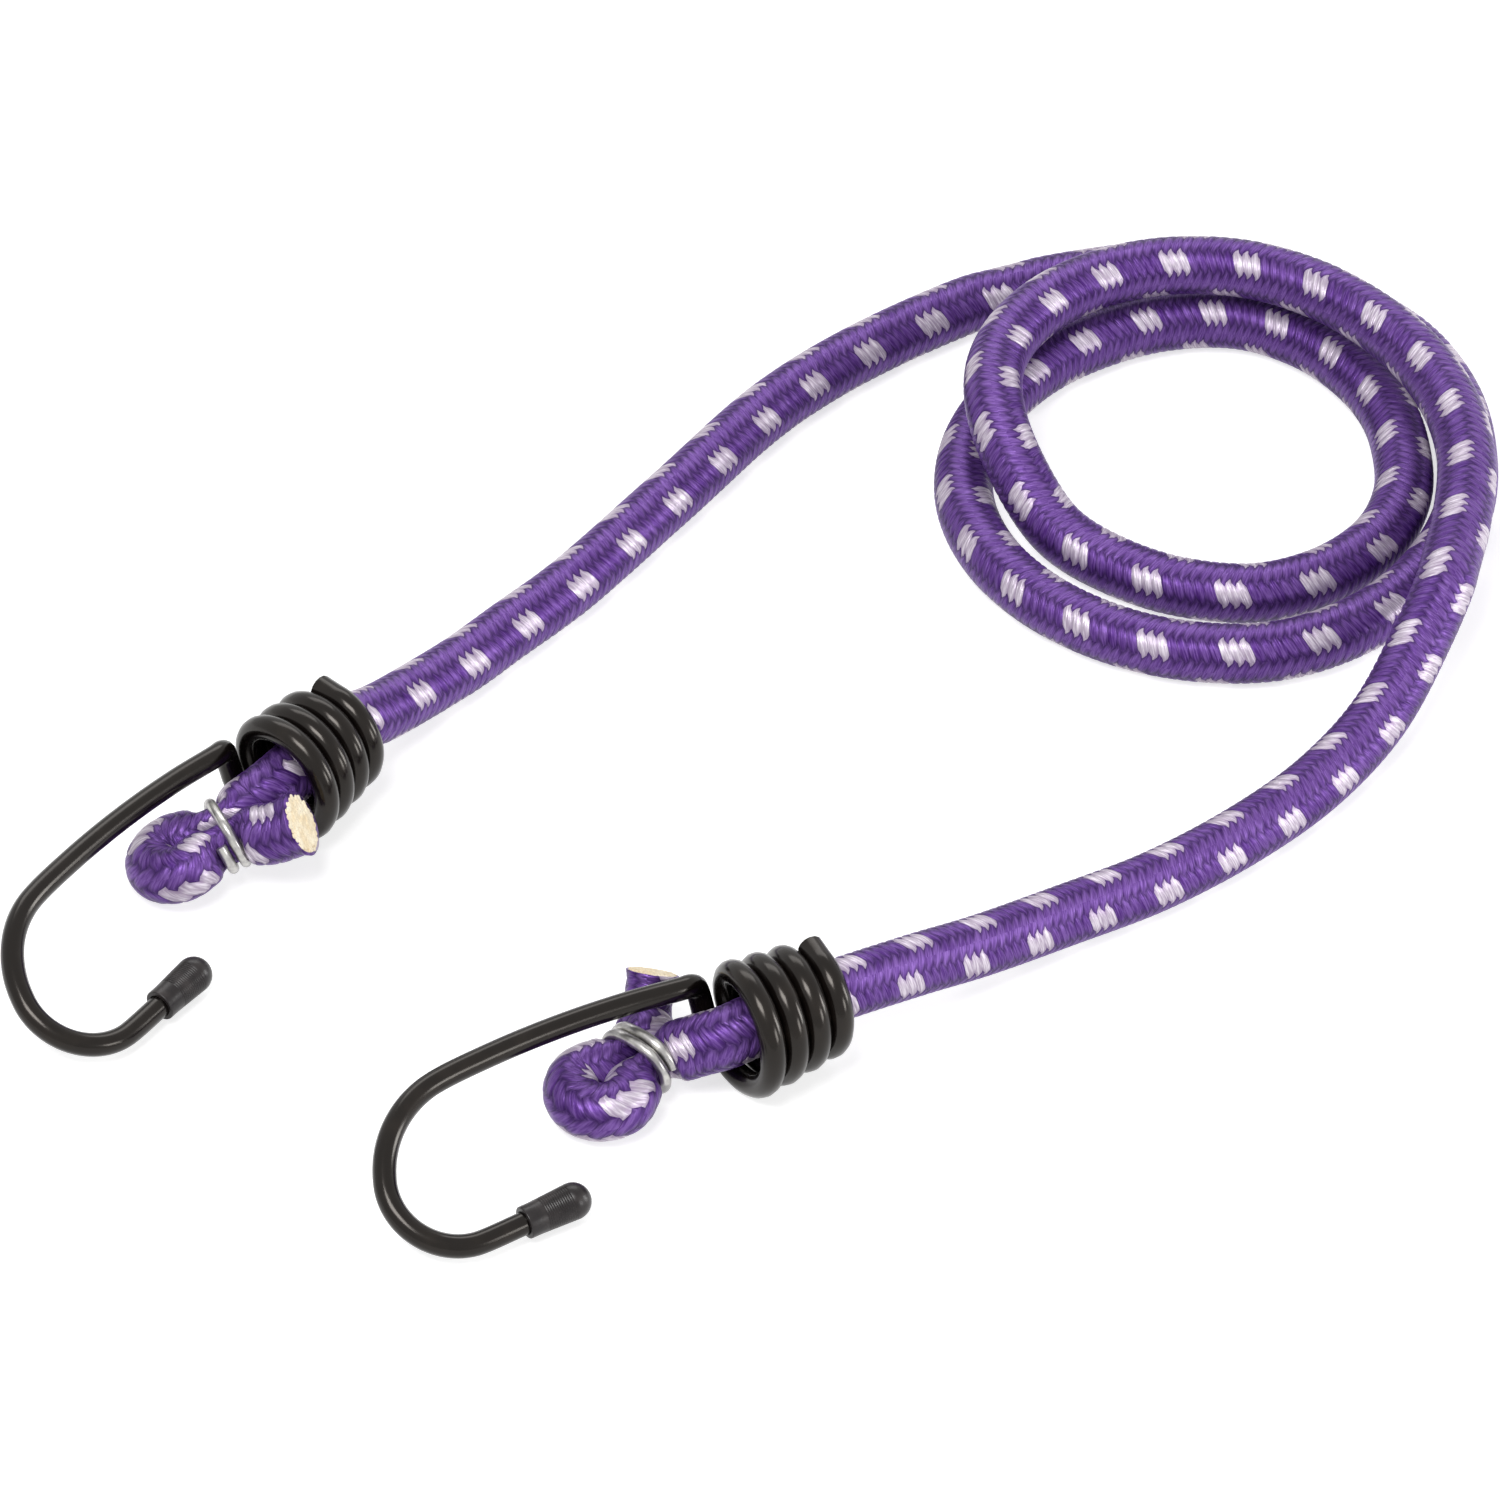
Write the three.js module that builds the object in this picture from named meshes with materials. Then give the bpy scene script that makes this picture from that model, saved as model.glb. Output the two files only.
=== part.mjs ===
// Bungee cord: a braided rubber cord with a steel wire hook wound round each end.
// It lies on a flat surface in two and a half loose turns, both hooks towards the front.
// Millimetres, +Z up. The surface is Z = 0 and the origin lies midway between the hooks.

import * as THREE from 'three';

// Cord: a braided sleeve drawn over a rubber core
const cordDiameter = 8;
const sleeveWall = 0.6;
const sleeveClearance = 0.6;
const cordSides = 12;
const boreSides = 8;
const meetingGap = 0.3;
const squareStretch = cordDiameter;

// Loose turns, wound clockwise seen from above, with a radius for every ninth of a turn.
// The first and last radius only steer the curve past its two ends.
const ringCentre = new THREE.Vector2(61.5, 56);
const ringStartAngle = 120;
const ringKnotAngle = 40;
const ringRadii = [
  45.8, 41.8, 37.8, 35.9, 34.0, 36.7, 41.4, 39.3, 35.0, 30.1, 28.0, 28.6, 26.0,
  25.2, 28.0, 29.5, 27.2, 28.2, 30.0, 30.2, 29.2, 28.1, 31.2, 40.6, 60.0,
];
const ringStepsPerTurn = 24;
const climbStartAngle = 608;
const climbSweep = 52;
const strandClearance = 0.5;

// Hand-laid route of the two runs, from each hook to the loose turns
const runPointsA = [
  [-47.6, -0.9, 7.1],
  [-43.4, 4.7, 5.5],
  [-37.4, 11.9, 4.3],
  [-31.0, 19.6, 3.95],
  [-24.0, 27.6, 3.9],
  [-10.4, 46.6, 3.9],
  [3.1, 65.6, 3.9],
  [15.0, 77.2, 3.9],
];
const runPointsB = [
  [87.1, 12.0, 9.8],
  [81.0, 0.4, 5.7],
  [73.0, -10.4, 4.1],
  [63.3, -20.3, 3.9],
  [51.3, -29.6, 3.9],
  [39.4, -37.0, 3.95],
  [28.6, -44.3, 4.9],
  [20.9, -49.3, 7.0],
];
const runStepLength = 6;
const runStraight = 3;

// Where each hook lies: the middle of its wire coil's mouth, and the way it points
const coilAxisHeight = 8.75;
const hookTilt = 1.2;
const hookRoll = 153.5;
const hookPlaces = {
  a: { x: -60.5, y: -17.4, yaw: 232.8 },
  b: { x: -2.5, y: -63.6, yaw: 211 },
};
const hooksCentre = new THREE.Vector2(-40.14, -50.07);

// Hook wire: a conical coil gripping the cord, a sharp turn, and a long J
const wireDiameter = 3;
const wireSides = 10;
const coilMouthRadius = 7.42;
const coilNeckRadius = 5.9;
const coilPitch = 3.45;
const coilTurns = 3.88;
const coilStartAngle = 32;
const coilStepAngle = 15;
const coilTailLength = 2.4;
const turnRadius = 2.5;
const turnStepAngle = 22.5;
const turnHollow = 0.06;
const shankOffset = 7.9;
const shankRise = 9;
const hookArcs = [
  { length: 33.5, radius: 145 },
  { length: 17.0, radius: 15.0 },
  { length: 16.4, radius: 8.4 },
  { length: 13.1, radius: Infinity },
];
const hookArcStepAngle = 11;
const hookStraightStep = 8;

// Soft cap pushed over the hook's tip
const capLength = 9.2;
const capMouthRadius = 2.1;
const capEndRadius = 2.35;
const capBoreRadius = 1.78;
const capBoreDepth = 8;
const capRimLength = 1.5;
const capSides = 14;
const capDomeSteps = 4;

// Cord end: out of the coil's mouth, folded back on itself and clamped
const junctionDepth = 10;
const junctionStraight = 4;
const endStraight = 6;
const legSpread = 2.15;
const loopSteps = 6;
const clampSqueeze = 0.5;
const clampFlatten = 0.8;
const loopFlatten = 0.92;
const clampedHalfLength = 2.4;
const squeezeReach = 6;
const clampWireDiameter = 1.3;
const clampWireSides = 8;
const clampPitch = 1.8;
const clampCorner = 2.5;
const clampClearance = 0.55;
const clampStepAngle = 18;
const endStepLength = 1.5;
const cordEnds = {
  a: {
    clamp: [9.2, -0.7, -1.75],
    heading: -31,
    dip: 15,
    lean: 8,
    loopReach: 6.2,
    loopRadius: 3.4,
    loopSqueeze: 0.78,
    leg: [[0.4, -0.5, -0.6], [3.7, -1.4, -1.4]],
    tail: [[6.9, 5.6, 0.3], [4.9, 8.8, 2.3]],
    legSide: -1,
    clampStart: -45,
    clampTurns: 1.2,
  },
  b: {
    clamp: [9.7, -5.4, -3.47],
    heading: 15,
    dip: 5,
    lean: 0,
    loopReach: 6.6,
    loopRadius: 3.8,
    loopSqueeze: 0.84,
    leg: [[0.4, -0.5, -0.6], [3.9, -2.7, -2.2]],
    tail: [[5.9, -10.5, -4.1], [4.6, -12.2, -2.2], [3.0, -13.6, 1.2]],
    legSide: 1,
    clampStart: 12,
    clampTurns: 1.44,
  },
};

const materials = {
  sleeve: new THREE.MeshStandardMaterial({ color: 0x5a32a0, roughness: 0.6, metalness: 0 }),
  core: new THREE.MeshStandardMaterial({ color: 0xe9d9b4, roughness: 0.8, metalness: 0 }),
  hook: new THREE.MeshStandardMaterial({ color: 0x141211, roughness: 0.35, metalness: 0.1 }),
  cap: new THREE.MeshStandardMaterial({ color: 0x101010, roughness: 0.5, metalness: 0 }),
  clamp: new THREE.MeshStandardMaterial({ color: 0xb9bec0, roughness: 0.35, metalness: 0.9 }),
};

const radians = THREE.MathUtils.degToRad;
const vertical = new THREE.Vector3(0, 0, 1);

// A path whose rings stand at its own points. The section stays square to the given
// upright direction, or rolls freely with the path where there is none. A squeeze
// scales the section sideways and upwards at each ring.
class RingPath extends THREE.Curve {
  constructor(points, upright = null, squeeze = () => [1, 1]) {
    super();
    this.points = points;
    this.upright = upright;
    this.squeeze = squeeze;
  }

  getSpacedPoints() {
    return this.points;
  }

  tangentAtRing(index) {
    const before = this.points[Math.max(index - 1, 0)];
    const after = this.points[Math.min(index + 1, this.points.length - 1)];
    return after.clone().sub(before).normalize();
  }

  computeFrenetFrames() {
    const frames = { tangents: [], normals: [], binormals: [] };
    const sideways = new THREE.Vector3();
    this.points.forEach((point, index) => {
      const tangent = this.tangentAtRing(index);
      if (this.upright) {
        sideways.crossVectors(this.upright, tangent).normalize();
      } else if (index === 0) {
        sideways.crossVectors(tangent, vertical).normalize();
      } else {
        const turn = new THREE.Quaternion();
        turn.setFromUnitVectors(frames.tangents[index - 1], tangent);
        sideways.applyQuaternion(turn);
      }
      const upwards = new THREE.Vector3().crossVectors(tangent, sideways);
      const [width, height] = this.squeeze(index);
      frames.tangents.push(tangent);
      frames.normals.push(sideways.clone().multiplyScalar(width));
      frames.binormals.push(upwards.multiplyScalar(height));
    });
    return frames;
  }
}

// A round section drawn as a polygon that stands on one of its flats
function roundOutline(radius, sides) {
  const outline = [];
  for (let i = 0; i < sides; i += 1) {
    const angle = -Math.PI / 2 + ((i + 0.5) * 2 * Math.PI) / sides;
    outline.push(new THREE.Vector2(radius * Math.cos(angle), radius * Math.sin(angle)));
  }
  return outline;
}

function makeMesh(name, geometry, material) {
  const mesh = new THREE.Mesh(geometry, material);
  mesh.name = name;
  return mesh;
}

function extrudeAlong(section, path) {
  const steps = path.points.length - 1;
  return new THREE.ExtrudeGeometry(section, { steps, extrudePath: path });
}

// Cord pieces: every stretch is a hollow sleeve and the rubber core inside it
const cordRadius = cordDiameter / 2;
const boreRadius = cordRadius - sleeveWall;
const coreRadius = boreRadius - sleeveClearance;
const lyingHeight = cordRadius * Math.cos(Math.PI / cordSides);

function makeCordPiece(place, path) {
  const sleeveSection = new THREE.Shape(roundOutline(cordRadius, cordSides));
  sleeveSection.holes.push(new THREE.Path(roundOutline(boreRadius, boreSides)));
  const coreSection = new THREE.Shape(roundOutline(coreRadius, boreSides));
  return [
    makeMesh(`sleeve_${place}`, extrudeAlong(sleeveSection, path), materials.sleeve),
    makeMesh(`core_${place}`, extrudeAlong(coreSection, path), materials.core),
  ];
}

function smoothRoute(points, stepLength) {
  const route = new THREE.CatmullRomCurve3(points, false, 'centripetal');
  route.arcLengthDivisions = 2000;
  return route.getSpacedPoints(Math.round(route.getLength() / stepLength));
}

// Points of a straight stretch, ending at the given point and running the given way
function straightInto(end, direction, length) {
  return [1, 0.5, 0].map((part) => end.clone().addScaledVector(direction, -part * length));
}

// Loose turns: radius and height follow the angle wound so far
const ringSweep = (ringRadii.length - 3) * ringKnotAngle;
const radiusSpline = new THREE.SplineCurve(
  ringRadii.map((radius, index) => new THREE.Vector2(index, radius)),
);

function ringPoint(woundAngle) {
  const knot = 1 + woundAngle / ringKnotAngle;
  const radius = radiusSpline.getPoint(knot / (ringRadii.length - 1)).y;
  const angle = radians(ringStartAngle - woundAngle);
  const climb = THREE.MathUtils.smoothstep(
    woundAngle, climbStartAngle, climbStartAngle + climbSweep,
  );
  return new THREE.Vector3(
    ringCentre.x + radius * Math.cos(angle),
    ringCentre.y + radius * Math.sin(angle),
    lyingHeight + climb * (cordDiameter + strandClearance),
  );
}

function ringDirection(woundAngle) {
  const step = 0.5;
  return ringPoint(woundAngle + step).sub(ringPoint(woundAngle - step)).normalize();
}

function makeRingPath() {
  const steps = Math.round((ringSweep / 360) * ringStepsPerTurn);
  const points = [];
  for (let i = 0; i <= steps; i += 1) {
    points.push(ringPoint((ringSweep * i) / steps));
  }
  const first = points[0];
  const last = points[points.length - 1];
  const leadIn = straightInto(first, ringDirection(0), squareStretch).slice(0, -1);
  const leadOut = straightInto(last, ringDirection(ringSweep).negate(), squareStretch);
  return new RingPath([...leadIn, ...points, ...leadOut.slice(0, -1).reverse()], vertical);
}

// The least gap between two stretches of one tube that are not next to each other
function leastGapToItself(points, diameter) {
  const nextAlong = 1.8 * diameter;
  let least = Infinity;
  const alongs = [0];
  for (let i = 1; i < points.length; i += 1) {
    alongs.push(alongs[i - 1] + points[i].distanceTo(points[i - 1]));
  }
  const line = new THREE.Line3();
  const nearest = new THREE.Vector3();
  for (let i = 0; i < points.length; i += 1) {
    for (let j = i + 1; j < points.length; j += 1) {
      if (alongs[j - 1] - alongs[i] > nextAlong) {
        line.set(points[j - 1], points[j]);
        line.closestPointToPoint(points[i], true, nearest);
        least = Math.min(least, nearest.distanceTo(points[i]) - diameter);
      }
    }
  }
  return least;
}

// Hook places: the frame's X runs out of the coil's mouth, Y to the viewer's side, Z up
function makeEndFrame(place) {
  const frame = new THREE.Group();
  frame.position.set(place.x, place.y, coilAxisHeight);
  frame.rotation.order = 'ZYX';
  frame.rotation.set(0, radians(hookTilt), radians(place.yaw));
  frame.updateMatrixWorld();
  return frame;
}

function makeRunPath(endFrame, routePoints, ringEnd, ringEndDirection) {
  const start = junctionDepth + meetingGap;
  const fromHook = [0, 0.5, 1].map((part) => endFrame.localToWorld(
    new THREE.Vector3(-start - part * junctionStraight, 0, 0),
  ));
  const middle = routePoints.map(([x, y, z]) => new THREE.Vector3(x, y, z));
  const meeting = ringEnd.clone().addScaledVector(ringEndDirection, -meetingGap);
  const intoRing = straightInto(meeting, ringEndDirection, runStraight);
  const firstRing = fromHook.shift();
  const lastRing = intoRing.pop();
  const rings = smoothRoute([...fromHook, ...middle, ...intoRing], runStepLength);
  return new RingPath([firstRing, ...rings, lastRing], vertical);
}

// Hook wire
const wireRadius = wireDiameter / 2;

function hookOutline() {
  const points = [];
  const position = new THREE.Vector2(turnRadius, shankOffset);
  let heading = radians(shankRise);
  points.push(position.clone());
  hookArcs.forEach(({ length, radius }) => {
    const sweep = length / radius;
    const bySweep = Math.ceil(sweep / radians(hookArcStepAngle));
    const steps = Math.max(bySweep, Math.ceil(length / hookStraightStep));
    for (let i = 0; i < steps; i += 1) {
      heading -= sweep / steps / 2;
      const stride = new THREE.Vector2(Math.cos(heading), Math.sin(heading));
      position.addScaledVector(stride, length / steps);
      heading -= sweep / steps / 2;
      points.push(position.clone());
    }
  });
  return points;
}

function coilWirePoint(angle) {
  const sweep = coilTurns * 360;
  const radius = THREE.MathUtils.lerp(coilMouthRadius, coilNeckRadius, angle / sweep);
  return new THREE.Vector3(
    (-coilPitch * angle) / 360,
    radius * Math.cos(radians(angle)),
    radius * Math.sin(radians(angle)),
  );
}

function hookWirePoints() {
  const outline = hookOutline().map((point) => new THREE.Vector3(point.x, point.y, 0));
  const turn = [];
  for (let angle = turnStepAngle; angle < 90; angle += turnStepAngle) {
    const across = turnRadius * (1 - Math.sin(radians(angle)));
    const down = turnRadius * (1 - Math.cos(radians(angle)));
    turn.push(new THREE.Vector3(across, shankOffset - turnHollow * down * down, down));
  }
  const coil = [];
  const sweep = coilTurns * 360;
  for (let angle = coilStartAngle; angle <= sweep; angle += coilStepAngle) {
    coil.push(coilWirePoint(angle));
  }
  const last = coil[coil.length - 1];
  const tailDirection = last.clone().sub(coil[coil.length - 2]).normalize();
  const tail = last.clone().addScaledVector(tailDirection, coilTailLength);
  return { coil, all: [...outline.reverse(), ...turn, ...coil, tail] };
}

function makeHookWire(name) {
  const section = new THREE.Shape(roundOutline(wireRadius, wireSides));
  return makeMesh(name, extrudeAlong(section, new RingPath(hookWirePoints().all)), materials.hook);
}

function makeTipCap(name) {
  const profile = [];
  for (let i = 0; i <= capDomeSteps; i += 1) {
    const angle = (Math.PI / 2) * (i / capDomeSteps);
    profile.push(new THREE.Vector2(
      capEndRadius * Math.sin(angle),
      capLength - capEndRadius * (1 - Math.cos(angle)),
    ));
  }
  profile.push(new THREE.Vector2(capMouthRadius, capRimLength));
  profile.push(new THREE.Vector2(capMouthRadius, 0));
  profile.push(new THREE.Vector2(capBoreRadius, 0));
  profile.push(new THREE.Vector2(capBoreRadius, capBoreDepth));
  profile.push(new THREE.Vector2(0, capBoreDepth));
  const cap = makeMesh(name, new THREE.LatheGeometry(profile.reverse(), capSides), materials.cap);
  const outline = hookOutline();
  const tip = outline[outline.length - 1];
  const before = outline[outline.length - 2];
  const along = tip.clone().sub(before).normalize();
  const mouth = tip.clone().addScaledVector(along, meetingGap - capBoreDepth);
  cap.position.set(mouth.x, mouth.y, 0);
  cap.rotation.z = Math.atan2(along.y, along.x) - Math.PI / 2;
  return cap;
}

// Cord end: the leg, the loop folded back and the tail, in the end frame
function endAxes(end) {
  const turn = new THREE.Euler(radians(end.lean), radians(end.dip), radians(end.heading), 'ZYX');
  const along = new THREE.Vector3(1, 0, 0).applyEuler(turn);
  const across = new THREE.Vector3(0, 1, 0).applyEuler(turn);
  const normal = new THREE.Vector3(0, 0, 1).applyEuler(turn);
  return { along, across, normal };
}

function makeEndPath(end) {
  const { along, across, normal } = endAxes(end);
  const clamp = new THREE.Vector3(...end.clamp);
  const inPlane = (reach, side) => clamp.clone()
    .addScaledVector(along, reach)
    .addScaledVector(across, side * end.legSide);
  const points = straightInto(
    new THREE.Vector3(endStraight - junctionDepth, 0, 0), new THREE.Vector3(1, 0, 0), endStraight,
  );
  end.leg.forEach((point) => points.push(new THREE.Vector3(...point)));
  points.push(inPlane(-clampedHalfLength, legSpread), inPlane(clampedHalfLength, legSpread));
  for (let i = 0; i <= loopSteps; i += 1) {
    const angle = Math.PI * (0.5 - i / loopSteps);
    const reach = end.loopReach + end.loopRadius * Math.cos(angle);
    points.push(inPlane(reach, end.loopRadius * Math.sin(angle)));
  }
  points.push(inPlane(clampedHalfLength, -legSpread), inPlane(-clampedHalfLength, -legSpread));
  end.tail.forEach((point) => points.push(new THREE.Vector3(...point)));
  const rings = smoothRoute(points, endStepLength);
  const squeeze = (index) => {
    const fromClamp = rings[index].clone().sub(clamp);
    const reach = fromClamp.dot(along);
    const { smoothstep } = THREE.MathUtils;
    const nearClamp = 1 - smoothstep(Math.abs(reach), clampedHalfLength, squeezeReach);
    const inLoop = smoothstep(reach, clampedHalfLength, squeezeReach);
    const width = 1 - nearClamp * (1 - clampSqueeze) - inLoop * (1 - end.loopSqueeze);
    const height = 1 - nearClamp * (1 - clampFlatten) - inLoop * (1 - loopFlatten);
    return [width, height];
  };
  return new RingPath(rings, normal, squeeze);
}

function makeClamp(name, end) {
  const { along, across, normal } = endAxes(end);
  const fit = clampWireDiameter / 2 + clampClearance;
  const halfWidth = legSpread + cordRadius * clampSqueeze + fit;
  const halfHeight = cordRadius * clampFlatten + fit;
  const straightHalf = halfWidth - halfHeight;
  const clamp = new THREE.Vector3(...end.clamp);
  const points = [];
  const sweep = end.clampTurns * 360;
  const steps = Math.round(sweep / clampStepAngle);
  for (let i = 0; i <= steps; i += 1) {
    const turned = (i / steps) * sweep;
    const angle = radians(turned + end.clampStart);
    const side = straightHalf * THREE.MathUtils.clamp(clampCorner * Math.cos(angle), -1, 1);
    points.push(clamp.clone()
      .addScaledVector(along, clampPitch * (turned / 360 - end.clampTurns / 2))
      .addScaledVector(across, side + halfHeight * Math.cos(angle))
      .addScaledVector(normal, halfHeight * Math.sin(angle)));
  }
  const section = new THREE.Shape(roundOutline(clampWireDiameter / 2, clampWireSides));
  return makeMesh(name, extrudeAlong(section, new RingPath(points)), materials.clamp);
}

// Assembly
function makeHookEnd(letter) {
  const frame = makeEndFrame(hookPlaces[letter]);
  const hook = new THREE.Group();
  hook.rotation.x = radians(hookRoll);
  hook.add(makeHookWire(`hook_${letter}`), makeTipCap(`tip_cap_${letter}`));
  frame.add(hook);
  frame.add(...makeCordPiece(`end_${letter}`, makeEndPath(cordEnds[letter])));
  frame.add(makeClamp(`clamp_${letter}`, cordEnds[letter]));
  return frame;
}

function makeBungeeCord() {
  const cord = new THREE.Group();
  const ends = { a: makeHookEnd('a'), b: makeHookEnd('b') };
  const ring = makeRingPath();
  const rings = ring.points;
  const runA = makeRunPath(ends.a, runPointsA, rings[0], ring.tangentAtRing(0));
  const lastRing = rings.length - 1;
  const backwards = ring.tangentAtRing(lastRing).negate();
  const runB = makeRunPath(ends.b, [...runPointsB].reverse(), rings[lastRing], backwards);
  cord.add(ends.a, ends.b);
  cord.add(...makeCordPiece('run_a', runA));
  cord.add(...makeCordPiece('turns', ring));
  cord.add(...makeCordPiece('run_b', runB));
  cord.position.set(-hooksCentre.x, -hooksCentre.y, 0);
  const turnsGap = leastGapToItself(rings, cordDiameter);
  const wireGap = leastGapToItself(hookWirePoints().coil, wireDiameter);
  console.log(`least gap between the loose turns: ${turnsGap.toFixed(2)} mm`);
  console.log(`least gap between the hook wire's turns: ${wireGap.toFixed(2)} mm`);
  return cord;
}

export default makeBungeeCord();
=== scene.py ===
# %% [markdown]
# A bungee cord for tying down luggage: a thick elastic cord in a braided sleeve, and at
# each end a steel hook whose wire is wound round the cord in a cone. The cord comes out of
# the cone's wide mouth and is folded back on itself and clamped, so that it can't pull
# through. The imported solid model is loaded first, because every piece made here lies
# where its solid lies and moves with the same body.

# %% Load the frame
import math
import random

import bmesh
import bpy
import numpy as np
from mathutils import Euler, Matrix, Vector


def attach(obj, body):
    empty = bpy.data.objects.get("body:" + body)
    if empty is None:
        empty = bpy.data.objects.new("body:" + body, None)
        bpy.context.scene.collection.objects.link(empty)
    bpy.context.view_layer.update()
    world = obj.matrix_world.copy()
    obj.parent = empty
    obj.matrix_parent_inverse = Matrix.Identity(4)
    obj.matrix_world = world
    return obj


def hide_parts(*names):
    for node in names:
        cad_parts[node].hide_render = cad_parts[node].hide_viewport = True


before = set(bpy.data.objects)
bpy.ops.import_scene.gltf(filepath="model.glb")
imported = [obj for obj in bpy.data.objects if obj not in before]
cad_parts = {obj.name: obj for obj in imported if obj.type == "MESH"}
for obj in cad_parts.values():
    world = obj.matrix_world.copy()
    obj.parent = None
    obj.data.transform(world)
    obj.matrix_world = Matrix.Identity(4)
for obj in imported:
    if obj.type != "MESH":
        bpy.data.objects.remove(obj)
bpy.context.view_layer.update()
millimetre = 0.001

# %% [markdown]
# The camera stands where the photographer stood: a long way off with a long lens, looking
# down at about forty degrees. Its distance and its lens together set how large the object
# comes out. The photograph's middle is a point on the table between the turns and hook A.

# %% Camera
photo_middle = Vector((40.14, 50.07, 0)) * millimetre
camera_height_angle = math.radians(41)
camera_distance = 1.2
pixels_per_metre = 7760
photo_pixels = 1500

bpy.ops.object.camera_add()
camera = bpy.context.object
camera.name = "camera"
backwards = Vector((0, -math.cos(camera_height_angle), math.sin(camera_height_angle)))
camera.location = photo_middle + backwards * camera_distance
camera.rotation_mode = "QUATERNION"
camera.rotation_quaternion = (-backwards).to_track_quat("-Z", "Y")
camera.data.sensor_width = 36
camera.data.lens = camera.data.sensor_width * pixels_per_metre * camera_distance / photo_pixels
camera.data.clip_start = 0.05
camera.data.clip_end = 20
bpy.context.scene.camera = camera
print("lens", round(camera.data.lens, 1), "mm")

# %% [markdown]
# The cord lies on the table: a run from hook A, two and a half loose turns whose last half
# turn lies on top of the others, and a run to hook B. The turns are a circle whose radius
# is given for every ninth of a turn, and the runs are listed points. The numbers
# are those of the solid model, so that the braid lies exactly where its solid does.

# %% Where things lie
cord_diameter = 8 * millimetre
cord_radius = cord_diameter / 2
lying_height = cord_radius * math.cos(math.pi / 12)
hooks_centre = Vector((-40.14, -50.07, 0)) * millimetre

ring_centre = Vector((61.5, 56, 0)) * millimetre
ring_start_angle = 120
ring_knot_angle = 40
ring_radii = [
    45.8, 41.8, 37.8, 35.9, 34.0, 36.7, 41.4, 39.3, 35.0, 30.1, 28.0, 28.6, 26.0,
    25.2, 28.0, 29.5, 27.2, 28.2, 30.0, 30.2, 29.2, 28.1, 31.2, 40.6, 60.0,
]
climb_start_angle = 608
climb_sweep = 52
strand_clearance = 0.5 * millimetre

run_points_a = [
    (-47.6, -0.9, 7.1), (-43.4, 4.7, 5.5), (-37.4, 11.9, 4.3), (-31.0, 19.6, 3.95),
    (-24.0, 27.6, 3.9), (-10.4, 46.6, 3.9), (3.1, 65.6, 3.9), (15.0, 77.2, 3.9),
]
run_points_b = [
    (87.1, 12.0, 9.8), (81.0, 0.4, 5.7), (73.0, -10.4, 4.1), (63.3, -20.3, 3.9),
    (51.3, -29.6, 3.9), (39.4, -37.0, 4.6), (28.6, -44.3, 6.1), (20.9, -49.3, 7.6),
]
hook_places = {"a": (-60.5, -17.4, 232.8), "b": (-2.5, -63.6, 211.0)}
coil_axis_height = 8.75
hook_tilt = math.radians(1.2)
hook_roll = math.radians(153.5)
junction_depth = 10

# %% [markdown]
# Each hook has a frame of its own, with X along its coil's axis and out of the mouth. A
# point of the loose turns is found from the angle that the cord has wound through since
# it left the first run. Short straight leads join the turns to the runs.

# %% The hooks' frames and the loose turns
def hook_frame(letter):
    """The place of a hook: X out of the coil's mouth, Z up."""
    x, y, yaw = hook_places[letter]
    turn = Euler((0, hook_tilt, math.radians(yaw)), "XYZ").to_matrix().to_4x4()
    place = Vector((x, y, coil_axis_height)) * millimetre - hooks_centre
    return Matrix.Translation(place) @ turn


def catmull_spline(values, position):
    """A smooth curve through evenly spaced values, as the solid model draws it."""
    index = min(int(position), len(values) - 2)
    part = position - index
    near = [values[min(max(index + k, 0), len(values) - 1)] for k in (-1, 0, 1, 2)]
    before, here, after, later = near
    slope_here = (after - before) / 2
    slope_after = (later - here) / 2
    return (
        (2 * here - 2 * after + slope_here + slope_after) * part ** 3
        + (-3 * here + 3 * after - 2 * slope_here - slope_after) * part ** 2
        + slope_here * part + here
    )


def ring_point(wound):
    """A point of the loose turns after winding through an angle, in degrees."""
    radius = catmull_spline(ring_radii, 1 + wound / ring_knot_angle) * millimetre
    angle = math.radians(ring_start_angle - wound)
    climb = min(max((wound - climb_start_angle) / climb_sweep, 0), 1)
    climb = climb * climb * (3 - 2 * climb)
    centre = ring_centre - hooks_centre
    return Vector((
        centre.x + radius * math.cos(angle),
        centre.y + radius * math.sin(angle),
        lying_height + climb * (cord_diameter + strand_clearance),
    ))


def ring_direction(wound):
    return (ring_point(wound + 0.5) - ring_point(wound - 0.5)).normalized()


ring_sweep = (len(ring_radii) - 3) * ring_knot_angle
ring_steps = 132
lead_distances = (4, 8, 11.3)
ring_points = [ring_point(ring_sweep * k / ring_steps) for k in range(ring_steps + 1)]
lead_in = [ring_points[0] - ring_direction(0) * reach * millimetre
           for reach in reversed(lead_distances)]
lead_out = [ring_points[-1] + ring_direction(ring_sweep) * reach * millimetre
            for reach in lead_distances]
ring_length = sum((b - a).length for a, b in zip(ring_points, ring_points[1:]))
print("length of the loose turns", round(ring_length, 3), "m")

# %% [markdown]
# A cord never kinks, so all the points are joined by one smooth curve, which is then cut
# into even steps. A centripetal curve is used, because it doesn't overshoot where the
# points lie close together. Each end starts straight on the axis of its hook's coil.

# %% One smooth route from hook to hook
steps_between_points = 24
axis_distances = (junction_depth, 12.3, 14.3)
cord_step = 1 * millimetre
ring_stride = 3


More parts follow.
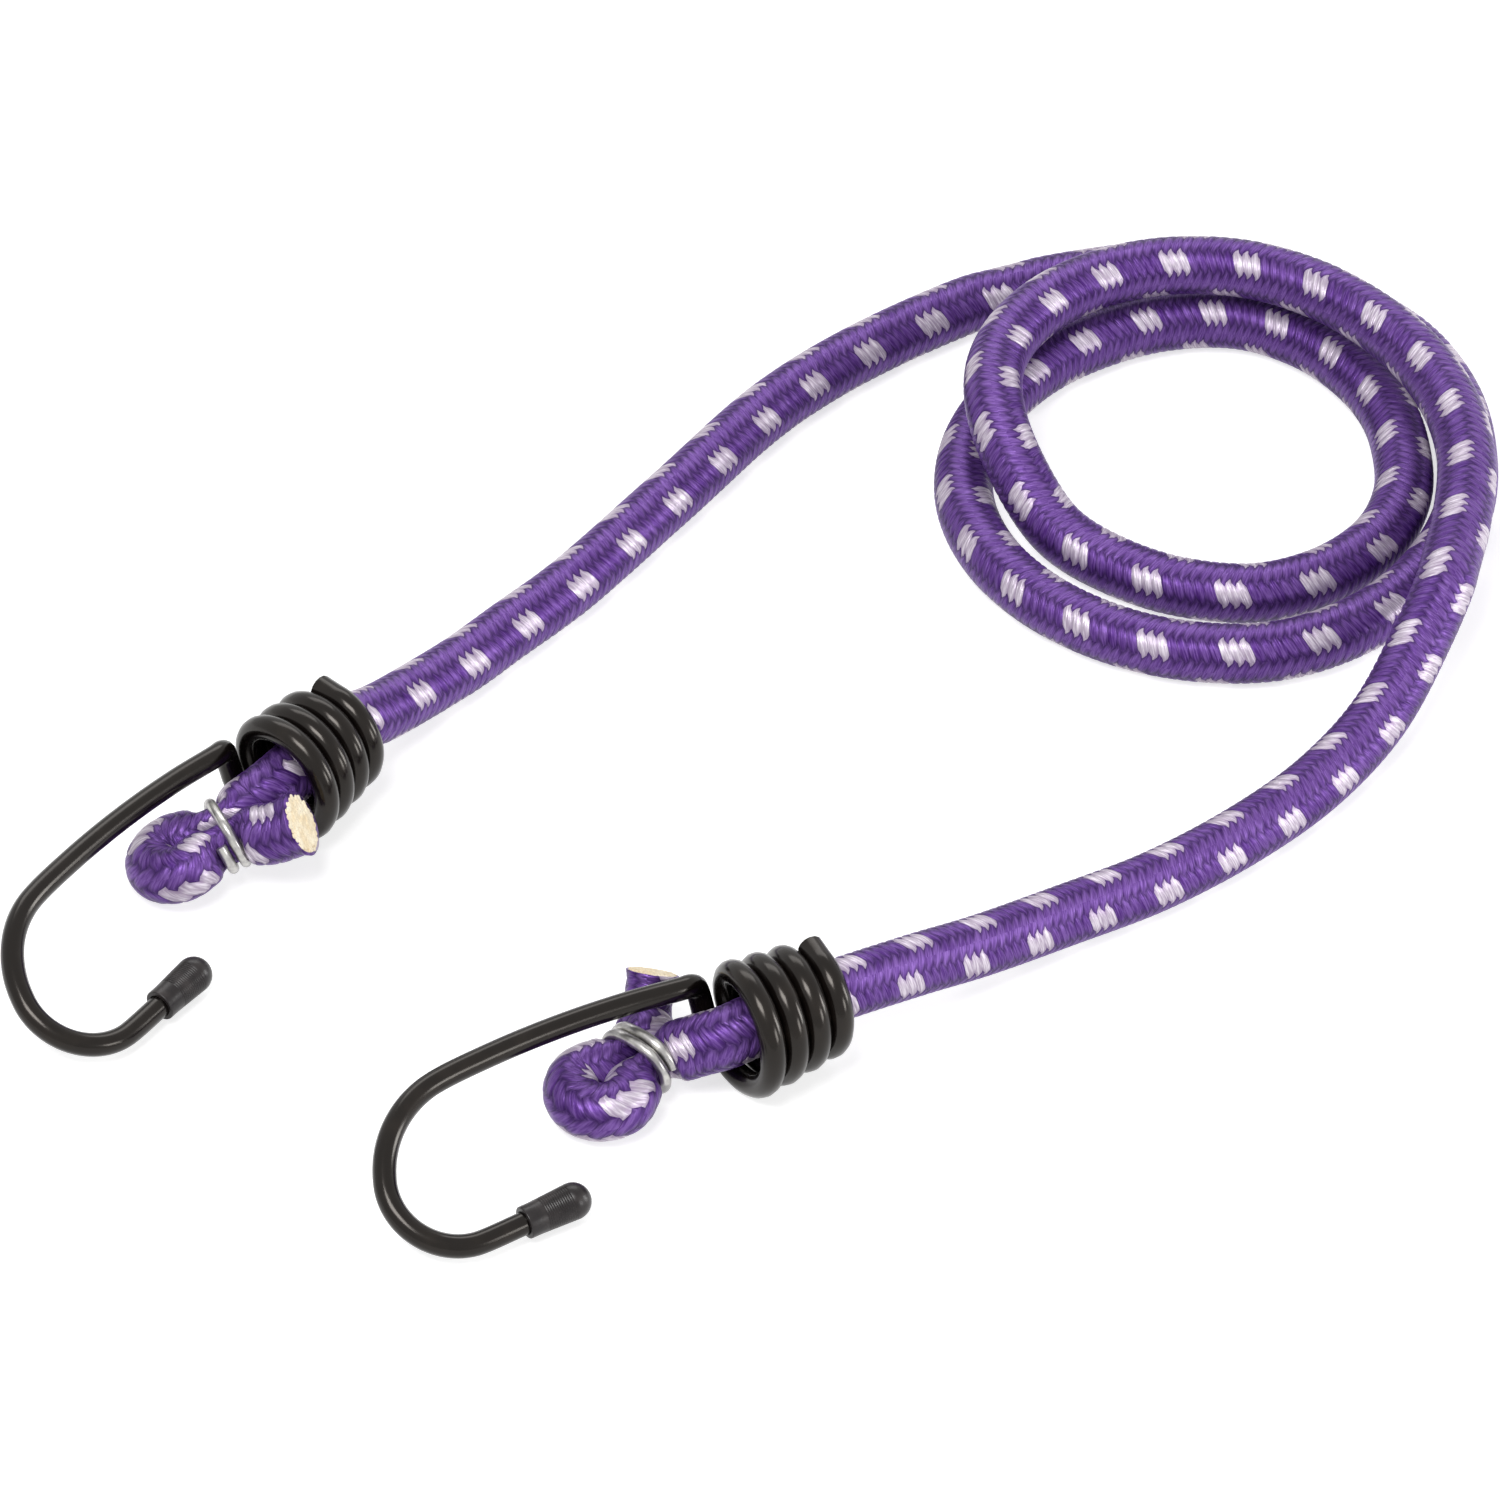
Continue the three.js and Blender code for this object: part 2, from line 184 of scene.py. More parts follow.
def centripetal_curve(points, step):
    """Points of a centripetal curve through the given ones, an even step apart."""
    points = [Vector(p) for p in points]
    ghosts = [points[0] * 2 - points[1], *points, points[-1] * 2 - points[-2]]
    fine = []
    for p0, p1, p2, p3 in zip(ghosts, ghosts[1:], ghosts[2:], ghosts[3:]):
        t1 = (p1 - p0).length ** 0.5
        t2 = t1 + (p2 - p1).length ** 0.5
        t3 = t2 + (p3 - p2).length ** 0.5
        for k in range(steps_between_points):
            t = t1 + (t2 - t1) * k / steps_between_points
            a = p0.lerp(p1, t / t1)
            b = p1.lerp(p2, (t - t1) / (t2 - t1))
            c = p2.lerp(p3, (t - t2) / (t3 - t2))
            first = a.lerp(b, t / t2)
            second = b.lerp(c, (t - t1) / (t3 - t1))
            fine.append(first.lerp(second, (t - t1) / (t2 - t1)))
    fine.append(points[-1])
    return even_steps(fine, step)


def even_steps(points, step):
    """The same line with its points an even step apart."""
    line = np.array([list(p) for p in points])
    along = np.concatenate([[0], np.cumsum(np.linalg.norm(np.diff(line, axis=0), axis=1))])
    count = max(2, round(along[-1] / step))
    places = np.linspace(0, along[-1], count + 1)
    return np.stack([np.interp(places, along, line[:, k]) for k in range(3)], axis=1)


def line_length(line):
    return float(np.linalg.norm(np.diff(line, axis=0), axis=1).sum())


def from_table(points):
    """Points of the listed route, moved to the origin between the hooks."""
    return [Vector(p) * millimetre - hooks_centre for p in points]


def on_coil_axis(letter, distances):
    """Points on the axis of a hook's coil, behind its mouth."""
    place = hook_frame(letter)
    return [place @ Vector((-d * millimetre, 0, 0)) for d in distances]


route = [
    *on_coil_axis("a", axis_distances),
    *from_table(run_points_a),
    *lead_in,
    *ring_points[::ring_stride],
    *lead_out,
    *from_table(run_points_b),
    *on_coil_axis("b", reversed(axis_distances)),
]
cord_line = centripetal_curve(route, cord_step)

# %% [markdown]
# Node trees are easier to read as sums than as pages of links. A small class wraps a
# socket, so that a plus or a times between two of them adds the Math node for it. Colours
# never pass through Math nodes, which would turn them grey.

# %% Shader maths as sums
class Signal:
    """The output of a shader node, which can be added to, multiplied and compared."""

    def __init__(self, tree, socket):
        self.tree = tree
        self.socket = socket

    def math(self, operation, *values):
        node = self.tree.nodes.new("ShaderNodeMath")
        node.operation = operation
        for place, value in zip(node.inputs, values):
            if isinstance(value, Signal):
                self.tree.links.new(value.socket, place)
            else:
                place.default_value = value
        return Signal(self.tree, node.outputs[0])

    def __add__(self, other):
        return self.math("ADD", self, other)

    def __radd__(self, other):
        return self.math("ADD", other, self)

    def __sub__(self, other):
        return self.math("SUBTRACT", self, other)

    def __rsub__(self, other):
        return self.math("SUBTRACT", other, self)

    def __mul__(self, other):
        return self.math("MULTIPLY", self, other)

    def __rmul__(self, other):
        return self.math("MULTIPLY", other, self)

    def __truediv__(self, other):
        return self.math("DIVIDE", self, other)

    def fraction(self):
        return self.math("FRACT", self)

    def floor(self):
        return self.math("FLOOR", self)

    def size(self):
        return self.math("ABSOLUTE", self)

    def power(self, exponent):
        return self.math("POWER", self, exponent)

    def larger(self, other):
        return self.math("MAXIMUM", self, other)

    def smaller(self, other):
        return self.math("MINIMUM", self, other)

    def above(self, edge):
        return self.math("GREATER_THAN", self, edge)

    def ramp(self, low, high):
        """0 below low, 1 above high, and a smooth rise between them."""
        node = self.tree.nodes.new("ShaderNodeMapRange")
        node.interpolation_type = "SMOOTHSTEP"
        self.tree.links.new(self.socket, node.inputs["Value"])
        node.inputs["From Min"].default_value = low
        node.inputs["From Max"].default_value = high
        return Signal(self.tree, node.outputs["Result"])


# %% [markdown]
# A second class adds any other node in one line. A socket is named by its label, with the
# spaces written as underlines, or by i and its number where several share a label.

# %% Nodes and materials in one line
class NodeTree:
    """A short way to add nodes to a material or to the sky."""

    def __init__(self, tree):
        self.tree = tree

    def node(self, kind, settings=None, output=0, **sockets):
        node = self.tree.nodes.new(kind)
        for key, value in (settings or {}).items():
            setattr(node, key, value)
        for key, value in sockets.items():
            place = node.inputs[int(key[1:]) if key[1:].isdigit() else key.replace("_", " ")]
            if isinstance(value, Signal):
                self.tree.links.new(value.socket, place)
            else:
                place.default_value = value
        return Signal(self.tree, node.outputs[output])

    def colours(self, factor, low, high):
        """A mix of two colours, each a plain colour or a signal."""
        return self.node(
            "ShaderNodeMix", {"data_type": "RGBA"}, output=2, i0=factor, i6=low, i7=high)


class Finish(NodeTree):
    """A material with one principled shader."""

    def __init__(self, name, **constants):
        self.material = bpy.data.materials.new(name)
        self.material.use_nodes = True
        super().__init__(self.material.node_tree)
        self.shader = self.tree.nodes["Principled BSDF"]
        for key, value in constants.items():
            self.shader.inputs[key.replace("_", " ")].default_value = value

    def feed(self, name, signal):
        self.tree.links.new(signal.socket, self.shader.inputs[name])

    def bump(self, height, strength, distance):
        bumps = self.node(
            "ShaderNodeBump", Height=height, Strength=strength, Distance=distance)
        self.feed("Normal", bumps)


# %% [markdown]
# The sleeve is braided from sixteen yarns, eight going round each way, and the yarns lie
# almost square to the cord, because the relaxed cord is short and fat. Seen from outside,
# the floats of the two directions take turns in eight columns round the cord, and their
# pointed ends interlock like teeth. Three neighbouring yarns of one direction are white,
# so white spots of three floats come back after every eight, and a quarter turn further
# round they have moved on by two. A map of the surface is all the pattern needs: the
# first number counts floats along the cord, the second counts columns round it.

# %% The braid's measures
float_pitch = 1.3 * millimetre
columns = 8
tooth_reach = 0.18
yarn_slant = 0.8
white_yarns = 3
groove_depth = 0.10 * millimetre
yarn_inset = 0.06 * millimetre
crown_power = 5
tip_sink_reach = 0.3
sunk_height = 0.3
print("a white spot every", round(float_pitch * columns / millimetre, 1), "mm")


def braid_height(floats, around):
    """How far the yarns stand proud, from 0 in a groove to 1, at places of the map."""
    tooth = 1 - 4 * np.abs(floats % 1 - 0.5)
    edge = np.round(around)
    side = np.where(edge % 2 == 1, 1.0, -1.0)
    inside = side * (edge - around) + tooth_reach * tooth
    across = (floats + np.where(inside > 0, 0.0, 0.5)) % 1 - 0.5
    crown = 1 - np.abs(2 * across) ** crown_power
    reach = np.clip(np.abs(inside) / tip_sink_reach, 0, 1)
    return crown * (sunk_height + (1 - sunk_height) * reach * (2 - reach))


# %% [markdown]
# The braid is a real relief and not only paint: the tube's rows of points follow the
# yarns, which slant one way in one column and the other way in the next, so every
# groove between two yarns is a line of the mesh. The frame that carries each ring is
# turned by the upright direction alone.

# %% Directions at each point of a line
def tube_frames(line, upright):
    """Directions sideways and upwards at each point of a line."""
    along = np.gradient(line, axis=0)
    along /= np.linalg.norm(along, axis=1)[:, None]
    sideways = np.cross(np.asarray(upright), along)
    sideways /= np.linalg.norm(sideways, axis=1)[:, None]
    return sideways, np.cross(along, sideways)


# %% [markdown]
# A real cord is a little twisted and stretched as it lies, so a table, the lay, adds how
# far the braid is ahead and turned along the way. Rings are placed by counting floats, and
# the slant of the yarns fades out at the ends, so that those are cut off flat.

# %% Where the points of the rings lie
lay_samples = 400


def ring_places(length, pitch, lay, rings_per_float, per_column):
    """For each point of each ring: its distance along, its place on the map, its angle.

    The lay holds a step, and for every such step of floats along the tube how many
    floats the braid is ahead of an even one, and how many degrees it is turned.
    """
    lay_step, ahead, turned = lay
    even = np.linspace(0, length / pitch, lay_samples)
    counted = even + np.array([catmull_spline(ahead, e / lay_step) for e in even])
    turn = np.radians([catmull_spline(turned, e / lay_step) for e in even])
    ring_count = int((counted[-1] - counted[0]) * rings_per_float)
    side_count = columns * per_column
    ring = np.arange(ring_count + 1)[:, None] * np.ones(side_count + 1)
    around = np.ones((ring_count + 1, 1)) * np.arange(side_count + 1) / per_column
    # A point on the line between two columns belongs to the one before it.
    column = np.floor(around - 1e-9 * (around > 0)).astype(int)
    slant = np.where(column % 2 == 0, around - column - 0.5, 0.5 - (around - column))
    slant[:, -1] = slant[:, 0]
    fade = np.minimum(1, np.minimum(ring, ring_count - ring) / (2 * rings_per_float))
    floats = counted[0] + ring / rings_per_float
    place = np.interp(floats + yarn_slant * slant * fade, counted, even) * pitch
    place[-1] = length
    angle = 2 * math.pi * around / columns + np.interp(place, even * pitch, turn)
    return place, floats, around, angle


# %% [markdown]
# The rings are joined by faces of four corners, and one face closes each end. The map is
# written face by face, because it doesn't close: the last column ends at eight where the
# first begins at nought.

# %% From rings of points to a mesh
def tube_from_rings(name, points, spread):
    """A closed tube with its map in the layer named braid.

    A ring's last point is its first one again, with its own place on the map.
    """
    ring_count, side_count = points.shape[0] - 1, points.shape[1] - 1
    vertices = points[:, :-1].reshape(-1, 3)
    rows, sides = np.meshgrid(np.arange(ring_count), np.arange(side_count), indexing="ij")
    here = rows * side_count + sides
    beside = rows * side_count + (sides + 1) % side_count
    quads = np.stack([here, beside, beside + side_count, here + side_count], -1).reshape(-1, 4)
    first_cap = list(range(side_count))[::-1]
    last_cap = [ring_count * side_count + k for k in range(side_count)]
    mesh = bpy.data.meshes.new(name)
    mesh.from_pydata(vertices.tolist(), [], quads.tolist() + [first_cap, last_cap])

    quad_map = np.stack([spread[rows + r, sides + s]
                         for r, s in ((0, 0), (0, 1), (1, 1), (1, 0))], 2)
    first_map, last_map = spread[0, :-1][::-1], spread[-1, :-1]
    everything = np.concatenate([quad_map.reshape(-1, 2), first_map, last_map])
    layer = mesh.uv_layers.new(name="braid")
    layer.data.foreach_set("uv", everything.astype(np.float32).ravel())
    mesh.polygons.foreach_set("use_smooth", np.ones(len(mesh.polygons), bool))
    mesh.validate()
    tube = bpy.data.objects.new(name, mesh)
    bpy.context.scene.collection.objects.link(tube)
    return tube


# %% [markdown]
# Each point of a ring goes out from the line by the cord's radius, less the depth of the
# groove that it is in. A squeeze makes the section narrower or flatter.

# %% A braided tube along a line
cut_flare_length = 1.8 * millimetre
cut_flare = 0.09


def braided_tube(name, line, upright, lay, squeeze=None, rings_per_float=4, per_column=5,
                 pitch=float_pitch, cut_end=False):
    """A tube along a line whose surface is the braid.

    The squeeze gives its width and its height at each point of the line, as shares.
    """
    line = np.asarray(line, float)
    steps = np.linalg.norm(np.diff(line, axis=0), axis=1)
    travelled = np.concatenate([[0], np.cumsum(steps)])
    length = travelled[-1]
    sideways, upwards = tube_frames(line, upright)
    squeeze = np.ones((len(line), 2)) if squeeze is None else np.asarray(squeeze)
    place, floats, around, angle = ring_places(length, pitch, lay, rings_per_float, per_column)

    def at(values):
        return np.stack([np.interp(place, travelled, values[:, k]) for k in range(3)], -1)

    width = np.interp(place, travelled, squeeze[:, 0])
    height = np.interp(place, travelled, squeeze[:, 1])
    proud = braid_height(floats, around)
    reach = cord_radius - yarn_inset - groove_depth * (1 - proud)
    if cut_end:
        lip = np.clip((place - (length - cut_flare_length)) / cut_flare_length, 0, 1)
        reach = reach * (1 + cut_flare * lip ** 2)
    points = at(line)
    points = points + at(sideways) * (reach * width * np.cos(angle))[..., None]
    points = points + at(upwards) * (reach * height * np.sin(angle))[..., None]
    tube = tube_from_rings(name, points, np.stack([floats, around], -1))
    print(name, "length", round(length, 4), "m,", len(tube.data.polygons) * 2, "triangles")
    return tube


# %% [markdown]
# Polyester yarn is a bundle of fine shiny threads. Its colour is deep, and it lights up
# where the threads turn towards the light. Painted shade makes it nearly black where the
# floats dip into the grooves and at their tips, and a painted sheen makes the floats of the
# second way a little lighter. It counts as partly metal, because the shine of dyed threads
# has their own colour. The pattern of the map finds which float a point is on. Each float
# gets its own small change of shade and fine threads along its length, as real yarn does.

# %% The yarn
def make_yarn():
    yarn = Finish("braided yarn", Metallic=0.4, Specular_IOR_Level=0.12)
    spread = yarn.node("ShaderNodeUVMap", {"uv_map": "braid"})
    floats = yarn.node("ShaderNodeSeparateXYZ", output=0, Vector=spread)
    around = yarn.node("ShaderNodeSeparateXYZ", output=1, Vector=spread)

    tooth = 1 - 4 * (floats.fraction() - 0.5).size()
    edge = (around + 0.5).floor()
    side = 4 * (edge / 2).fraction() - 1
    inside = side * (edge - around) + tooth_reach * tooth
    first_way = inside.above(0)
    own_floats = floats + 0.5 - 0.5 * first_way
    across = own_floats.fraction() - 0.5
    number = own_floats.floor()
    quarter = ((around + 0.5) / 2).floor()

    counted = ((number + 2 * quarter + 0.5) / columns).fraction() * columns
    white = first_way * (1 - counted.above(white_yarns))

    key = yarn.node("ShaderNodeCombineXYZ", X=number, Y=quarter * 2 + first_way)
    own_shade = yarn.node("ShaderNodeTexWhiteNoise", {"noise_dimensions": "2D"}, Vector=key)
    thread_place = yarn.node("ShaderNodeCombineXYZ", X=floats * 4.5 + own_shade * 7,
                             Y=around * 0.9, Z=number * 0.37)
    threads = yarn.node("ShaderNodeTexNoise", Vector=thread_place, Scale=1.6, Detail=3.0)
    crown = 1 - (2 * across).size().power(7)
    end_fall = (inside.size() / tip_sink_reach).smaller(1)
    height = crown * (sunk_height + (1 - sunk_height) * end_fall)
    # Painted shade: this share drops at the floats' edges and tips, where they dip into
    # grooves.
    groove = (0.6 + 0.4 * crown.ramp(0.0, 0.4)) * (0.35 + 0.65 * end_fall)

    # The darkest purple and the darkest white are painted shade for the grooves and the tips.
    groove_shade_purple = (0.012, 0.003, 0.034, 1)
    deep_purple = (0.058, 0.014, 0.150, 1)
    light_purple = (0.205, 0.105, 0.370, 1)
    groove_shade_white = (0.24, 0.16, 0.30, 1)
    deep_white = (0.40, 0.33, 0.43, 1)
    light_white = (0.72, 0.66, 0.74, 1)
    # Painted sheen lightens the second way's floats; the rest is fibre grain and own tone.
    tone_and_painted_sheen = threads.ramp(0.34, 0.68) * 0.62 + own_shade * 0.2 + (1 - first_way) * 0.18
    purple_yarn = yarn.colours(tone_and_painted_sheen, deep_purple, light_purple)
    white_yarn = yarn.colours(threads.ramp(0.35, 0.7), deep_white, light_white)
    on_top = yarn.colours(white, purple_yarn, white_yarn)
    # The colour in the grooves and at the floats' tips is painted shade.
    painted_groove_shade = yarn.colours(white, groove_shade_purple, groove_shade_white)
    yarn.feed("Base Color", yarn.colours(groove, painted_groove_shade, on_top))
    yarn.feed("Roughness", 0.46 - 0.2 * threads)
    yarn.bump(height * 0.25 + threads * 0.75, 0.75, 0.2 * millimetre)
    return yarn.material


yarn_material = make_yarn()
print("yarn shader of", len(yarn_material.node_tree.nodes), "nodes")

# %% [markdown]
# The long free stretch is one tube from coil to coil, with the cord's real length and
# thickness, and it stands for the plain solids of both runs and of the loose turns. It leaves
# hook A's coil and goes back into hook B's. Its lay was set so that the white spots fall
# where the photograph shows them.

# %% The cord between the hooks
floats_ahead = (3.5, 2.3, 2.1, 2.0, -0.8, -2.4, -3.4, -4.4, -3.5, -2.6, -1.7, -0.9, 0.0,
                0.1, 1.2, 0.2, -1.3, -3.2, -3.0, -1.4, 0.4)
degrees_turned = (30, 30, 30, 30, 30, 30, 30, 22, 15, 15, 15, 15, 15, 12, 24, 15, -5, 0, -5,
                  -15, -15)
lay_step = 30
cord = braided_tube("braided_cord", cord_line, (0, 0, 1),
                    (lay_step, floats_ahead, degrees_turned))
cord.data.materials.append(yarn_material)
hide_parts("sleeve_run_a", "sleeve_turns", "sleeve_run_b",
            "core_run_a", "core_turns", "core_run_b")
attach(cord, "cord")

# %% [markdown]
# The cord's ends come straight out of the coils' mouths, are folded into a tight eye and
# lie back beside themselves, and a wire clamp pinches the two strands together. The line
# of each end is given by a few points, and its section is narrowed where the clamp bites.
# All of it is in millimetres from the coil's mouth, because each end keeps to its hook.

# %% The folded ends' measures
strand_radius = 4
straight_start = (0, 3, 6)
end_step = 0.25
leg_spread = 2.15
loop_steps = 6
clamp_squeeze = 0.5
clamp_flatten = 0.8
loop_flatten = 0.92
loop_squeeze = 0.93
clamped_half_length = 2.4
bite_half_length = 1.2
bite_reach = 4.0
tail_narrowing_reach = 9.0
cord_ends = {
    "a": {
        "clamp": (9.2, -0.7, -1.75), "heading": -31, "dip": 15, "lean": 8,
        "loop_reach": 6.2, "loop_radius": 3.4, "float_pitch": 1.65 * millimetre,
        "lay": (10, (6.25, 6.25, 7.4, 9.95, 10.0), (15, 15, -10, -22, -22)),
        "leg": [(0.4, -0.5, -0.6), (3.7, -1.4, -1.4)],
        "tail": [(6.9, 5.6, 0.3), (4.9, 8.8, 2.3)],
        "tail_width": 1.0, "leg_side": -1,
        "clamp_start": -45, "clamp_turns": 1.2, "clamp_pitch": 1.8,
    },
    "b": {
        "clamp": (9.7, -5.4, -3.47), "heading": 15, "dip": 5, "lean": 0,
        "loop_reach": 6.6, "loop_radius": 3.8, "float_pitch": 1.38 * millimetre,
        "lay": (10, (-2.2, -1.8, -2.8, -4.4, -4.6), (30, 30, 30, 30, 30)),
        "leg": [(0.4, -0.5, -0.6), (3.9, -2.7, -2.2)],
        "tail": [(5.9, -10.5, -4.1), (4.6, -12.2, -2.2), (2.8, -13.9, 1.0)],
        "tail_width": 0.78, "leg_side": 1,
        "clamp_start": 12, "clamp_turns": 1.44, "clamp_pitch": 1.55,
    },
}


# %% The folded ends' lines
def smooth_rise(value, low, high):
    part = np.clip((value - low) / (high - low), 0, 1)
    return part * part * (3 - 2 * part)


def end_axes(end):
    """Directions of the clamped stretch: along it, across the two strands, and out."""
    turn = Euler([math.radians(end[k]) for k in ("lean", "dip", "heading")], "XYZ").to_matrix()
    return turn @ Vector((1, 0, 0)), turn @ Vector((0, 1, 0)), turn @ Vector((0, 0, 1))


def end_line(end):
    """The folded end's line and squeeze, in the hook's frame, in millimetres."""
    along, across, outwards = end_axes(end)
    clamp = Vector(end["clamp"])
    side = end["leg_side"]

    def in_plane(reach, offset):
        return clamp + along * reach + across * offset * side

    points = [Vector((k - junction_depth, 0, 0)) for k in straight_start]
    points += [Vector(p) for p in end["leg"]]
    points += [in_plane(-clamped_half_length, leg_spread),
               in_plane(clamped_half_length, leg_spread)]
    for k in range(loop_steps + 1):
        angle = math.pi * (0.5 - k / loop_steps)
        points.append(in_plane(end["loop_reach"] + end["loop_radius"] * math.cos(angle),
                               end["loop_radius"] * math.sin(angle)))
    points += [in_plane(clamped_half_length, -leg_spread),
               in_plane(-clamped_half_length, -leg_spread)]
    points += [Vector(p) for p in end["tail"]]
    line = centripetal_curve(points, end_step)
    reach = (line - np.array(clamp)) @ np.array(along)
    near = 1 - smooth_rise(np.abs(reach), bite_half_length, bite_reach)
    looped = smooth_rise(reach, bite_half_length, bite_reach)
    to_end = np.arange(len(line))[::-1] * end_step
    tail = 1 - smooth_rise(to_end, tail_narrowing_reach / 2, tail_narrowing_reach)
    width = 1 - near * (1 - clamp_squeeze) - looped * (1 - loop_squeeze)
    height = 1 - near * (1 - clamp_flatten) - looped * (1 - loop_flatten)
    narrowing = 1 - tail * (1 - end["tail_width"])
    return line, outwards, np.stack([width, height], -1) * narrowing[:, None]


# %% [markdown]
# Each end is the same braided tube with finer rings, because the eye bends so tightly. Its
# yarns are spread wider than in the free cord, and the sleeve flares a little at the cut.

# %% The folded ends
end_lines = {}
for letter, end in cord_ends.items():
    place = hook_frame(letter)
    line, outwards, squeeze = end_line(end)
    line = np.array([list(place @ (Vector(p) * millimetre)) for p in line])
    end_lines[letter] = line
    folded = braided_tube(f"folded_end_{letter}", line, place.to_3x3() @ outwards,
                          end["lay"], squeeze, rings_per_float=8, per_column=8,
                          pitch=end["float_pitch"], cut_end=True)
    folded.data.materials.append(yarn_material)
    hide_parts(f"sleeve_end_{letter}")
    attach(folded, "cord")

# %% [markdown]
# The hook is one steel wire: four turns wound in a cone, a sharp turn, and a long J. A
# spin would make the J but not the cone, whose radius shrinks as it winds, so the wire's
# middle line is worked out from the solid model's arcs, smoothed, and given a round
# section as a curve. The curve is then made a mesh, and its cut ends are bevelled.

# %% Selecting a piece and its faces
def select_only(piece):
    bpy.ops.object.select_all(action="DESELECT")
    piece.select_set(True)
    bpy.context.view_layer.objects.active = piece


def select_faces(piece, wanted):
    """In edit mode, selects just the faces that pass a test."""
    bpy.ops.mesh.select_all(action="DESELECT")
    bpy.ops.mesh.select_mode(type="FACE")
    shape = bmesh.from_edit_mesh(piece.data)
    for face in shape.faces:
        face.select_set(wanted(face))
    bmesh.update_edit_mesh(piece.data)


# %% A round wire along a line
smooth_angle = math.radians(40)


def round_wire(name, points, radius, end_bevel, thickness=None):
    """A wire through points in millimetres, still in millimetres and at the origin."""
    thickness = [1] * len(points) if thickness is None else thickness
    curve = bpy.data.curves.new(name, "CURVE")
    curve.dimensions = "3D"
    curve.bevel_depth = radius
    curve.bevel_resolution = 5
    curve.use_fill_caps = True
    spline = curve.splines.new("POLY")
    spline.points.add(len(points) - 1)
    for place, point, share in zip(spline.points, points, thickness):
        place.co = (*point, 1)
        place.radius = share
    wire = bpy.data.objects.new(name, curve)
    bpy.context.scene.collection.objects.link(wire)
    select_only(wire)
    bpy.ops.object.convert(target="MESH")
    bpy.ops.object.mode_set(mode="EDIT")
    bpy.ops.mesh.select_all(action="SELECT")
    bpy.ops.mesh.remove_doubles(threshold=0.001)
    bpy.ops.mesh.normals_make_consistent(inside=False)
    select_faces(wire, lambda face: len(face.verts) > 4)
    bpy.ops.mesh.bevel(offset=end_bevel, segments=3, affect="EDGES")
    bpy.ops.object.mode_set(mode="OBJECT")
    return wire


def settle(piece, place, material):
    """Lays a piece modelled in millimetres in its place, with the place in its mesh."""
    piece.data.transform(place @ Matrix.Scale(millimetre, 4))
    piece.data.materials.clear()
    piece.data.materials.append(material)
    select_only(piece)
    bpy.ops.object.shade_smooth_by_angle(angle=smooth_angle)
    print(piece.name, sum(len(p.vertices) - 2 for p in piece.data.polygons), "triangles")


# %% [markdown]
# The wire's line starts at the tip, follows the J back to the sharp turn, and then winds
# up the cone to its cut end. The turns of a real coil touch, so the wire is drawn a little
# thicker there than in the solid, where a gap is left between them.

# %% The hook wire's measures
wire_radius = 1.5
wire_step = 0.45
wire_end_bevel = 0.3
coil_mouth_radius = 7.42
coil_neck_radius = 5.9
coil_pitch = 3.45
coil_turns = 3.88
coil_start_angle = 32
coil_step_angle = 15
coil_tail_length = 2.4
turn_radius = 2.5
turn_step_angle = 22.5
turn_hollow = 0.06
coil_swelling = 0.12
swelling_reach = 3
shank_offset = 7.9
shank_rise = 9
hook_arcs = [(33.5, 145), (17.0, 15.0), (16.4, 8.4), (13.1, math.inf)]
arc_step_angle = 11
straight_step = 8


# %% The hook wire's line
def hook_outline():
    """The J in its own plane, from the sharp turn to the tip."""
    place = Vector((turn_radius, shank_offset, 0))
    heading = math.radians(shank_rise)
    points = [place.copy()]
    for length, radius in hook_arcs:
        sweep = length / radius
        steps = max(math.ceil(math.degrees(sweep) / arc_step_angle),
                    math.ceil(length / straight_step))
        for _ in range(steps):
            heading -= sweep / steps / 2
            place += Vector((math.cos(heading), math.sin(heading), 0)) * length / steps
            heading -= sweep / steps / 2
            points.append(place.copy())
    return points


def coil_point(angle):
    whole = coil_turns * 360
    radius = coil_mouth_radius + (coil_neck_radius - coil_mouth_radius) * angle / whole
    turned = math.radians(angle)
    return Vector((-coil_pitch * angle / 360, radius * math.cos(turned),
                   radius * math.sin(turned)))


def hook_line():
    """The whole wire, from the tip through the sharp turn to the coil's cut end."""
    turn = []
    for k in range(1, math.ceil(90 / turn_step_angle)):
        angle = math.radians(k * turn_step_angle)
        down = turn_radius * (1 - math.cos(angle))
        turn.append(Vector((turn_radius * (1 - math.sin(angle)),
                            shank_offset - turn_hollow * down * down, down)))
    steps = int((coil_turns * 360 - coil_start_angle) / coil_step_angle)
    coil = [coil_point(coil_start_angle + k * coil_step_angle) for k in range(steps + 1)]
    tail = coil[-1] + (coil[-1] - coil[-2]).normalized() * coil_tail_length
    return centripetal_curve([*reversed(hook_outline()), *turn, *coil, tail], wire_step)


def hook_place(letter):
    return hook_frame(letter) @ Matrix.Rotation(hook_roll, 4, "X")


def coil_thickness(line):
    """The coil's wire is a little thicker, because its turns are pressed together."""
    return [1 + coil_swelling * smooth_rise(-point[0], 0, swelling_reach) for point in line]


wire_line = hook_line()
print("hook wire", round(line_length(wire_line)), "mm")

# %% [markdown]
# The wire is painted satin black. Black paint shows almost only what it mirrors, so its
# look is in its roughness: a fine unevenness breaks the lamps' reflections a little. What
# it mirrors is tinted a warm brown, as on the real hooks.

